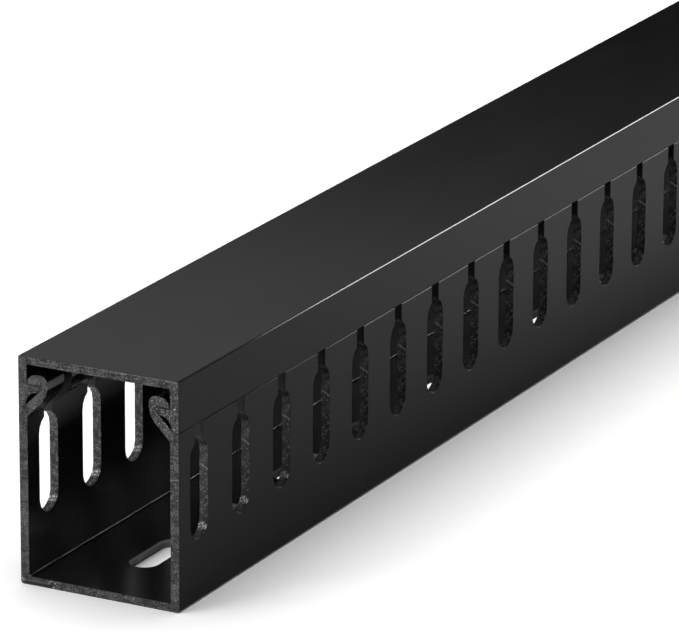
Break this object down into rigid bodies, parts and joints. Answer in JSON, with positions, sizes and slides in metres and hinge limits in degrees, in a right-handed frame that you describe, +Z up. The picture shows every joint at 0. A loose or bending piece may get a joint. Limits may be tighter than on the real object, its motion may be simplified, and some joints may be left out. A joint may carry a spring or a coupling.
{
  "type": "slotted wire duct",
  "caption": "Length of slotted wiring duct: a rectangular channel with finger walls and hooked lips, under a snap-fit cover.",
  "frame": {"origin": "middle of the base's underside, on the plane that the duct is screwed to", "axes": "+X along the duct, +Y across it, +Z up from the base to the cover"},
  "size_m": [0.5, 0.04, 0.053],
  "materials": {
    "channel_pvc": "black rigid PVC, extruded satin faces, paler fine-scratched sawn and punched edges",
    "cover_pvc": "black rigid PVC, extruded satin faces with faint lengthwise lines, paler sawn ends"
  },
  "bodies": {
    "channel": {"duct_channel": "channel_pvc"},
    "cover": {"snap_cover": "cover_pvc"}
  },
  "joints": [
    {"name": "cover_slide", "type": "slide", "parent": "channel", "child": "cover", "axis": [1, 0, 0], "range_m": [-0.48, 0.48]}
  ]
}
